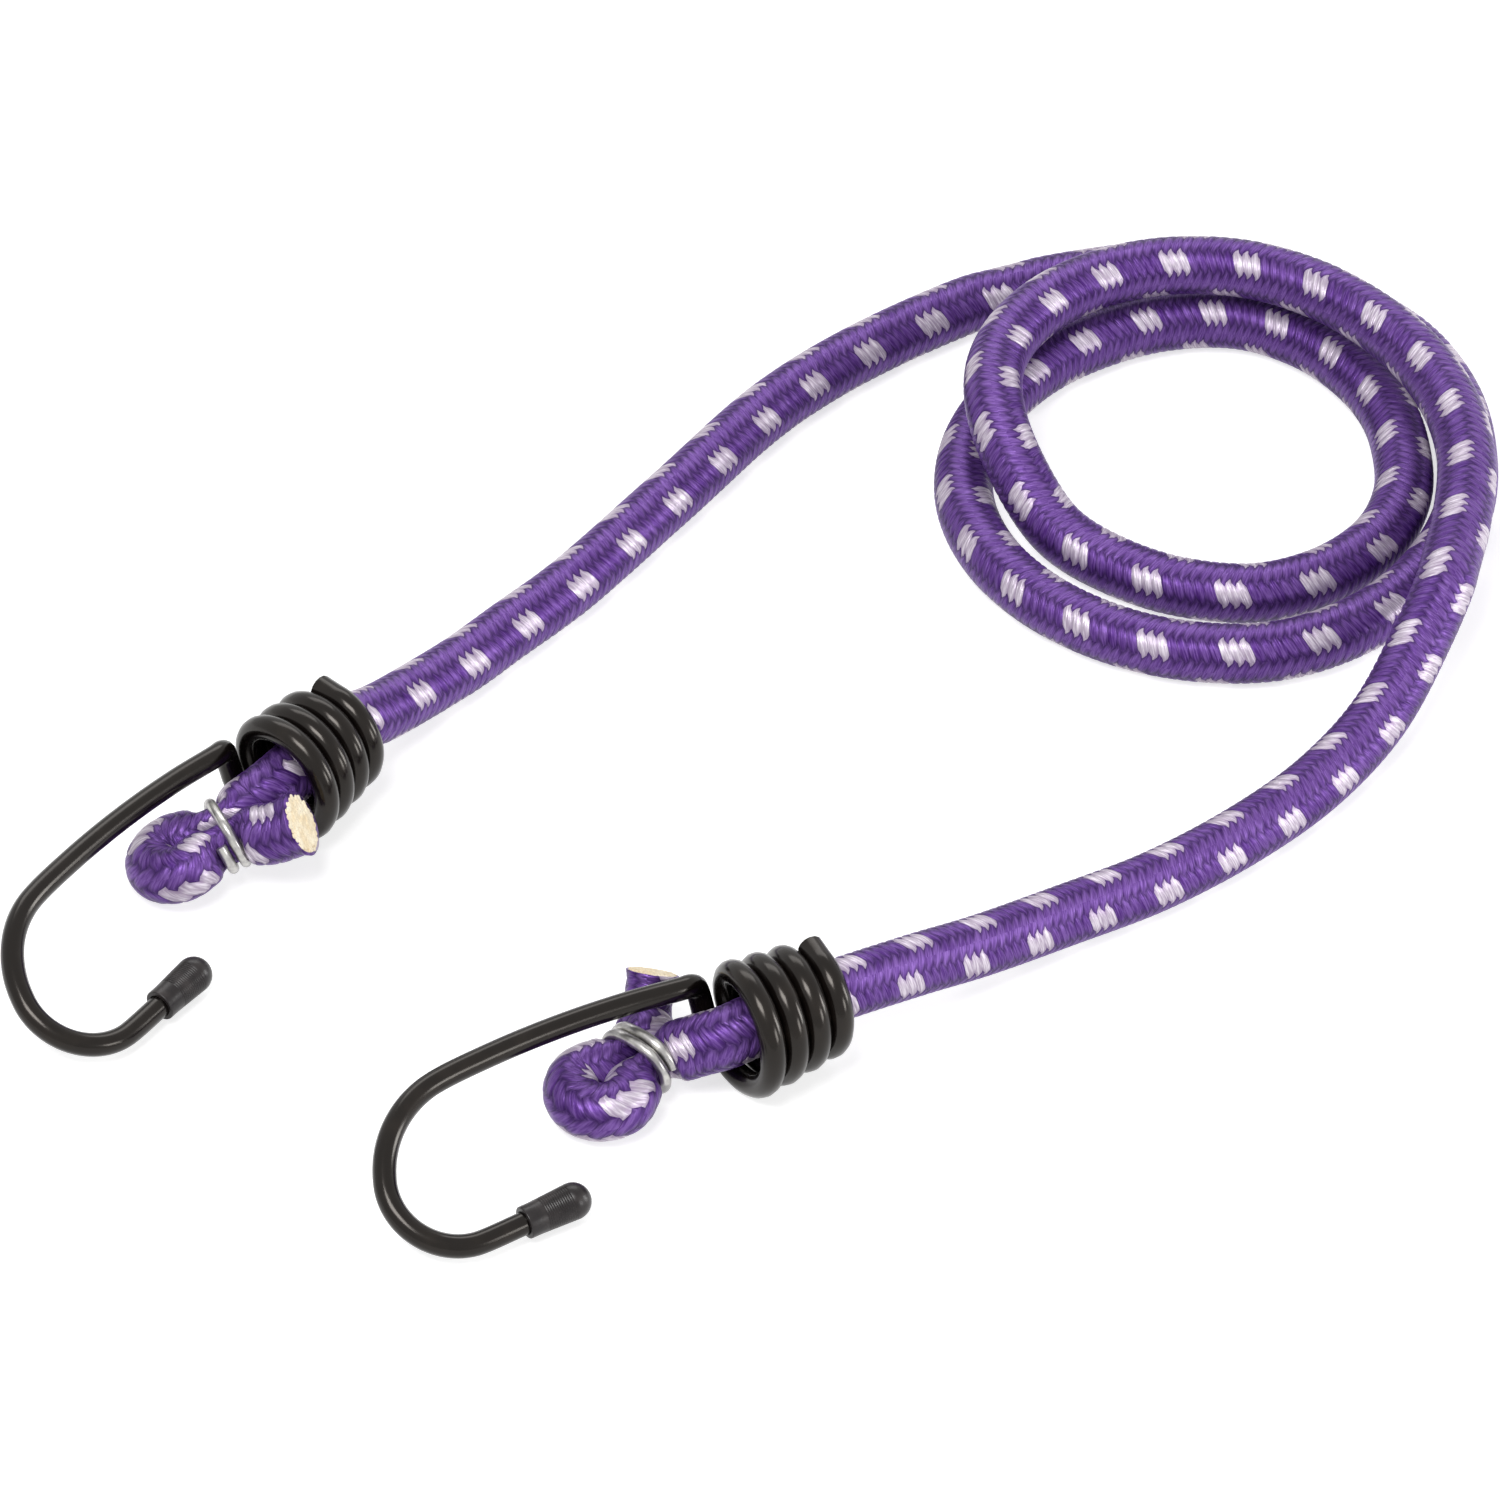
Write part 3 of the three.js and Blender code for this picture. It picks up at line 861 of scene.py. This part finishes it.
# %% Black paint and the hooks
def make_paint():
    paint = Finish("black paint", Specular_IOR_Level=0.32, Specular_Tint=(1.0, 0.93, 0.86, 1))
    place = paint.node("ShaderNodeTexCoord", output=3)
    cloud = paint.node("ShaderNodeTexNoise", Vector=place, Scale=260.0, Detail=3.0)
    grain = paint.node("ShaderNodeTexNoise", Vector=place, Scale=2600.0, Detail=2.0)
    thick_black = (0.0035, 0.0024, 0.0022, 1)
    thin_black = (0.009, 0.0066, 0.0055, 1)
    paint.feed("Base Color", paint.colours(cloud.ramp(0.45, 0.75), thick_black, thin_black))
    paint.feed("Roughness", 0.15 + 0.08 * cloud)
    paint.bump(grain + cloud * 2, 0.08, 0.02 * millimetre)
    return paint.material


paint_material = make_paint()
for letter in hook_places:
    hook = round_wire(f"hook_wire_{letter}", wire_line, wire_radius, wire_end_bevel,
                      coil_thickness(wire_line))
    settle(hook, hook_place(letter), paint_material)
    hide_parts(f"hook_{letter}")
    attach(hook, f"hook_{letter}")

# %% [markdown]
# A soft cap is pushed over each hook's tip, so that the cut wire doesn't scratch. It is
# turned round, so a ring is drawn out along its axis and widened step by step: the bore's
# floor, the wall of the bore, the rounded lip, the slightly swelling side with the fine
# rings that the mould has left, and the round end.

# %% The tip cap's measures
cap_length = 9.2
cap_mouth_radius = 2.1
cap_end_radius = 2.35
cap_bore_radius = 1.56
cap_bore_depth = 7.9
cap_step_place = 1.5
cap_lip = 0.18
cap_sides = 48
lip_steps = 4
dome_steps = 10
first_ring_line = 1.0
ring_line_spacing = 0.31
ring_line_depth = 0.06
ring_lines = 13
ring_line_share = 0.25
cap_overlap = 8
meeting_gap = 0.3


# %% A cap drawn out of a ring
def cap_profile():
    """Distance from the mouth and radius, from the bore's floor out to the round end."""
    profile = [(0, cap_bore_radius)]
    for k in range(lip_steps + 1):
        angle = math.pi / 2 * k / lip_steps
        profile.append((cap_lip * (1 - math.cos(angle)),
                        cap_mouth_radius - cap_lip * (1 - math.sin(angle))))
    side_end = cap_length - cap_end_radius

    def side_radius(along):
        part = max(0, (along - cap_step_place) / (side_end - cap_step_place))
        return cap_mouth_radius + (cap_end_radius - cap_mouth_radius) * part

    profile.append((cap_step_place, side_radius(cap_step_place)))
    for k in range(ring_lines):
        along = cap_step_place + first_ring_line + k * ring_line_spacing
        groove = ring_line_share * ring_line_spacing
        profile += [(along - groove, side_radius(along)),
                    (along, side_radius(along) - ring_line_depth),
                    (along + groove, side_radius(along))]
    for k in range(dome_steps):
        angle = math.pi / 2 * k / dome_steps
        profile.append((side_end + cap_end_radius * math.sin(angle),
                        cap_end_radius * math.cos(angle)))
    return profile


def make_cap(name):
    bpy.ops.object.select_all(action="DESELECT")
    bpy.ops.mesh.primitive_circle_add(vertices=cap_sides, radius=cap_bore_radius,
                                      fill_type="NGON", location=(0, 0, 0))
    cap = bpy.context.object
    cap.name = name
    bpy.ops.object.mode_set(mode="EDIT")
    bpy.ops.mesh.select_all(action="SELECT")
    bpy.ops.transform.translate(value=(0, 0, cap_bore_depth))
    bpy.ops.mesh.select_mode(type="EDGE")
    along, radius = cap_bore_depth, cap_bore_radius
    bpy.ops.mesh.region_to_loop()
    for next_along, next_radius in cap_profile():
        bpy.ops.mesh.extrude_edges_move(
            TRANSFORM_OT_translate={"value": (0, 0, next_along - along)})
        change = next_radius / radius
        bpy.ops.transform.resize(value=(change, change, 1), center_override=(0, 0, 0))
        along, radius = next_along, next_radius
    bpy.ops.mesh.merge(type="CENTER")
    bpy.ops.mesh.select_all(action="SELECT")
    bpy.ops.mesh.normals_make_consistent(inside=False)
    bpy.ops.object.mode_set(mode="OBJECT")
    return cap


# %% [markdown]
# The caps are soft black rubber. It is duller than the paint and has a faint grain. A
# slow cloud of noise makes it a little greyer and rougher in some places than in others.

# %% Cap rubber and the caps
def make_cap_rubber():
    rubber = Finish("cap rubber", Specular_IOR_Level=0.34)
    place = rubber.node("ShaderNodeTexCoord", output=3)
    cloud = rubber.node("ShaderNodeTexNoise", Vector=place, Scale=420.0, Detail=4.0)
    grain = rubber.node("ShaderNodeTexNoise", Vector=place, Scale=3200.0, Detail=2.0)
    clean_black = (0.010, 0.0075, 0.008, 1)
    greyed_black = (0.026, 0.021, 0.021, 1)
    rubber.feed("Base Color", rubber.colours(cloud.ramp(0.4, 0.7), clean_black, greyed_black))
    rubber.feed("Roughness", 0.26 + 0.16 * cloud)
    rubber.bump(grain + cloud * 1.5, 0.18, 0.03 * millimetre)
    return rubber.material


cap_rubber = make_cap_rubber()
outline = hook_outline()
tip_way = (outline[-1] - outline[-2]).normalized()
cap_mouth = outline[-1] + tip_way * (meeting_gap - cap_overlap)
for letter in hook_places:
    cap = make_cap(f"soft_cap_{letter}")
    place = hook_place(letter) @ Matrix.Translation(cap_mouth * millimetre)
    settle(cap, place @ tip_way.to_track_quat("Z", "Y").to_matrix().to_4x4(), cap_rubber)
    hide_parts(f"tip_cap_{letter}")
    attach(cap, f"hook_{letter}")

# %% [markdown]
# A galvanised wire is bent round the two strands of the folded end and squeezed shut, so
# hard that it sinks into the cord. It follows the line of its solid, drawn tighter, and at
# B its turns lie closer together.

# %% The clamp wire's line
clamp_wire_radius = 0.71
clamp_corner = 2.5
clamp_bite = 0.15
clamp_steps = 240
clamp_end_bevel = 0.12


def clamp_line(end):
    """The clamp's middle line in the hook's frame, in millimetres."""
    along, across, outwards = end_axes(end)
    fit = clamp_wire_radius - clamp_bite
    half_width = leg_spread + strand_radius * clamp_squeeze + fit
    half_height = strand_radius * clamp_flatten + fit
    straight_half = half_width - half_height
    points = []
    for k in range(clamp_steps + 1):
        turned = k / clamp_steps * end["clamp_turns"] * 360
        angle = math.radians(turned + end["clamp_start"])
        side = straight_half * min(max(clamp_corner * math.cos(angle), -1), 1)
        points.append(Vector(end["clamp"])
                      + along * end["clamp_pitch"] * (turned / 360 - end["clamp_turns"] / 2)
                      + across * (side + half_height * math.cos(angle))
                      + outwards * half_height * math.sin(angle))
    return points


# %% [markdown]
# Zinc is bright but dull, because its skin is made of small patches. One cloud of noise
# makes both their colour and their roughness, so that the paler patches are rougher too.

# %% Zinc and the clamps
def make_zinc():
    zinc = Finish("zinc coat", Metallic=0.85)
    place = zinc.node("ShaderNodeTexCoord", output=3)
    cloud = zinc.node("ShaderNodeTexNoise", Vector=place, Scale=600.0, Detail=4.0)
    dark_zinc = (0.31, 0.30, 0.30, 1)
    pale_zinc = (0.56, 0.55, 0.52, 1)
    zinc.feed("Base Color", zinc.colours(cloud.ramp(0.35, 0.68), dark_zinc, pale_zinc))
    zinc.feed("Roughness", 0.24 + 0.14 * cloud)
    zinc.bump(cloud, 0.1, 0.03 * millimetre)
    return zinc.material


zinc_material = make_zinc()
for letter, end in cord_ends.items():
    clamp = round_wire(f"clamp_wire_{letter}", clamp_line(end), clamp_wire_radius,
                       clamp_end_bevel)
    settle(clamp, hook_frame(letter), zinc_material)
    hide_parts(f"clamp_{letter}")
    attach(clamp, "cord")

# %% [markdown]
# Where the cord is cut, its core shows: a bundle of fine cream rubber threads that swell
# out of the sleeve a little, because they were stretched when the sleeve was braided. One
# thread is modelled with a rounded end, and copies of it fill the round in a spiral like
# the seeds of a sunflower, each cut a little higher or lower than its neighbours. A disc
# behind them closes the gaps.

# %% The cut core's measures
thread_count = 120
thread_radius = 0.41
thread_length = 0.8
thread_sides = 9
thread_bevel = 0.09
bundle_radius = 3.62
thread_stand = 0.22
thread_unevenness = 0.06
dome_fall = 0.008
backing_sides = 48
backing_margin = 0.25
backing_depth = 0.5
seed_turn = math.radians(137.508)
cut_way_steps = 4


# %% A bundle of threads
def make_thread():
    bpy.ops.object.select_all(action="DESELECT")
    bpy.ops.mesh.primitive_cylinder_add(vertices=thread_sides, radius=thread_radius,
                                        depth=thread_length, end_fill_type="NGON",
                                        location=(0, 0, 0))
    thread = bpy.context.object
    bpy.ops.object.mode_set(mode="EDIT")
    select_faces(thread, lambda face: face.normal.z > 0.9)
    bpy.ops.mesh.bevel(offset=thread_bevel, segments=2, affect="EDGES")
    bpy.ops.object.mode_set(mode="OBJECT")
    return thread


def make_bundle(name):
    thread = make_thread()
    scatter = random.Random(11)
    pieces = []
    for k in range(thread_count):
        reach = bundle_radius * math.sqrt((k + 0.5) / thread_count)
        height = scatter.uniform(-1, 1) * thread_unevenness - dome_fall * reach * reach
        copy = thread.copy()
        copy.data = thread.data.copy()
        turn = Matrix.Rotation(scatter.uniform(0, math.pi), 4, "Z")
        centre = Vector((reach * math.cos(k * seed_turn), reach * math.sin(k * seed_turn),
                         height - thread_length / 2))
        copy.data.transform(Matrix.Translation(centre) @ turn)
        bpy.context.scene.collection.objects.link(copy)
        pieces.append(copy)
    bpy.data.objects.remove(thread)
    bpy.ops.object.select_all(action="DESELECT")
    bpy.ops.mesh.primitive_cylinder_add(vertices=backing_sides, depth=backing_depth,
                                        radius=bundle_radius + backing_margin,
                                        end_fill_type="NGON", location=(0, 0, -backing_depth))
    pieces.append(bpy.context.object)
    for piece in pieces:
        piece.select_set(True)
    bpy.context.view_layer.objects.active = pieces[0]
    bpy.ops.object.join()
    bundle = bpy.context.object
    bundle.name = name
    return bundle


# %% [markdown]
# Cut rubber is matt and cream coloured. A coarse noise blotches it a little, and only the
# peaks of a fine one come through as brown specks.

# %% Thread rubber and the cut ends
def make_thread_rubber():
    rubber = Finish("thread rubber", Roughness=0.75, Specular_IOR_Level=0.3)
    place = rubber.node("ShaderNodeTexCoord", output=3)
    cloud = rubber.node("ShaderNodeTexNoise", Vector=place, Scale=500.0, Detail=4.0)
    speck = rubber.node("ShaderNodeTexNoise", Vector=place, Scale=2100.0, Detail=2.0)
    dark_cream = (0.80, 0.67, 0.46, 1)
    pale_cream = (0.90, 0.82, 0.65, 1)
    speck_brown = (0.50, 0.36, 0.22, 1)
    cream = rubber.colours(cloud.ramp(0.35, 0.7), dark_cream, pale_cream)
    rubber.feed("Base Color", rubber.colours(speck.ramp(0.67, 0.75), cream, speck_brown))
    rubber.bump(speck + cloud, 0.3, 0.06 * millimetre)
    return rubber.material


thread_rubber = make_thread_rubber()
for letter, line in end_lines.items():
    bundle = make_bundle(f"cut_core_{letter}")
    way = Vector(line[-1]) - Vector(line[-1 - cut_way_steps])
    place = Matrix.Translation(Vector(line[-1]) + way.normalized() * thread_stand * millimetre)
    place = place @ way.to_track_quat("Z", "Y").to_matrix().to_4x4()
    settle(bundle, place @ Matrix.Scale(cord_ends[letter]["tail_width"], 4), thread_rubber)
    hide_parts(f"core_end_{letter}")
    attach(bundle, "cord")

# %% [markdown]
# The photograph is a cut-out on plain white, so the floor and the sky both show white to
# the camera and in reflections. To all other light the floor is a plain grey, on which the
# object's shadow falls, and the sky is dim.

# %% Floor and sky
floor_size = 6
floor_drop = 0.1 * millimetre
sky_light = 0.25

bpy.ops.object.select_all(action="DESELECT")
bpy.ops.mesh.primitive_plane_add(size=floor_size, location=(0, 0, -floor_drop))
floor = bpy.context.object
floor.name = "floor"
floor_finish = Finish("pale floor", Base_Color=(0.62, 0.62, 0.62, 1), Roughness=0.9,
                      Specular_IOR_Level=0.1, Emission_Strength=0.7)


def seen_directly(tree):
    """1 where the camera sees a thing directly, in a reflection or through glass."""
    camera_ray, glossy_ray, through_ray = (
        tree.node("ShaderNodeLightPath", output=k) for k in (0, 3, 6))
    return camera_ray.larger(glossy_ray).larger(through_ray)


glow = floor_finish.colours(seen_directly(floor_finish), (0, 0, 0, 1), (1, 1, 1, 1))
floor_finish.feed("Emission Color", glow)
floor.data.materials.append(floor_finish.material)

world = bpy.data.worlds.new("studio")
bpy.context.scene.world = world
world.use_nodes = True
background = world.node_tree.nodes["Background"]
sky = NodeTree(world.node_tree)
strength = seen_directly(sky) * (1 - sky_light) + sky_light
sky.tree.links.new(strength.socket, background.inputs["Strength"])
background.inputs["Color"].default_value = (1, 1, 1, 1)
print("floor", floor_size, "m wide, sky light", sky_light)

# %% [markdown]
# Four soft lamps light the object: the main panel above on the viewer's left, two panels
# low on the right, whose reflections draw the bright lines along the black hooks, and a
# weak panel behind.

# %% Lamps
lamp_target = Vector((0.04, 0.05, 0))


def soft_panel(name, place, size, power):
    """A lamp that faces the cord; its size is given upright first, then sideways."""
    bpy.ops.object.light_add(type="AREA", location=place)
    lamp = bpy.context.object
    lamp.name = name
    lamp.data.shape = "RECTANGLE"
    lamp.data.size, lamp.data.size_y = size
    lamp.data.energy = power
    outwards = (Vector(place) - lamp_target).normalized()
    upright = Vector((0, 0, 1))
    upright = (upright - upright.dot(outwards) * outwards).normalized()
    turn = Matrix((upright, outwards.cross(upright), outwards)).transposed()
    lamp.rotation_mode = "QUATERNION"
    lamp.rotation_quaternion = turn.to_quaternion()


soft_panel("main_panel", (-0.22, -0.45, 0.95), (0.40, 0.50), 8.3)
soft_panel("right_panel", (1.00, 0.10, 0.22), (0.40, 0.25), 3.6)
soft_panel("front_panel", (0.82, -0.52, 0.27), (0.30, 0.25), 2.4)
soft_panel("back_panel", (-0.05, 0.75, 0.75), (0.35, 0.9), 3.0)
bpy.context.scene.view_settings.view_transform = "Standard"
